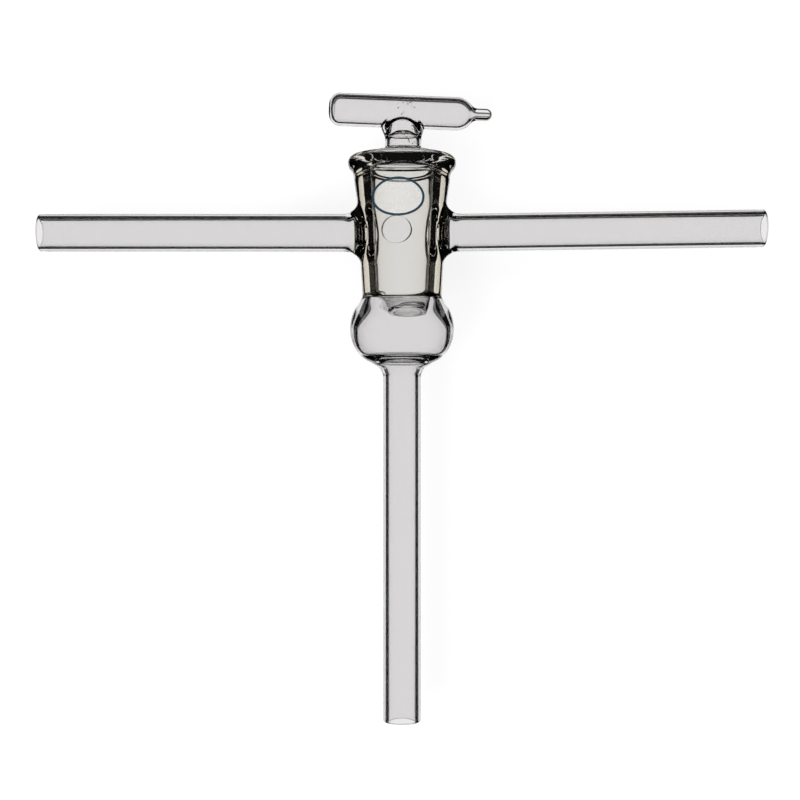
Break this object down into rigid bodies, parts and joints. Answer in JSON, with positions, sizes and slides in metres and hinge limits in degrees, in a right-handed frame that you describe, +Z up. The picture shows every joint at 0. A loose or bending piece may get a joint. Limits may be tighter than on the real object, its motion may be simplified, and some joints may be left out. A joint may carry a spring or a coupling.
{
  "type": "glass stopcock",
  "caption": "Blown glass vacuum stopcock: a flanged tapered barrel with opposed side arms, a bulb and a lower tube, and a hollow T-handled plug that turns in it.",
  "frame": {"origin": "middle of the underside of the bounding box, which is under the plug axis; the stopcock lies on its side on the flange's rim", "axes": "+Y along the plug axis towards the handle, +X along the right arm, +Z up from the surface, out of the front of the barrel"},
  "size_m": [0.232, 0.201, 0.0347],
  "materials": {
    "barrel_glass": "clear flame-worked borosilicate glass with a finely ground, greased bore",
    "plug_glass": "clear flame-worked borosilicate glass with a finely ground, greased cone",
    "marking_enamel": "thin fired enamel outline of the write-on spot"
  },
  "bodies": {
    "barrel": {"barrel": "barrel_glass"},
    "plug": {"plug": "plug_glass"}
  },
  "joints": [
    {"name": "plug_turn", "type": "hinge", "parent": "barrel", "child": "plug", "pos_m": [0, 0.05577, 0.01735], "axis": [0, 1, 0], "continuous": true}
  ]
}
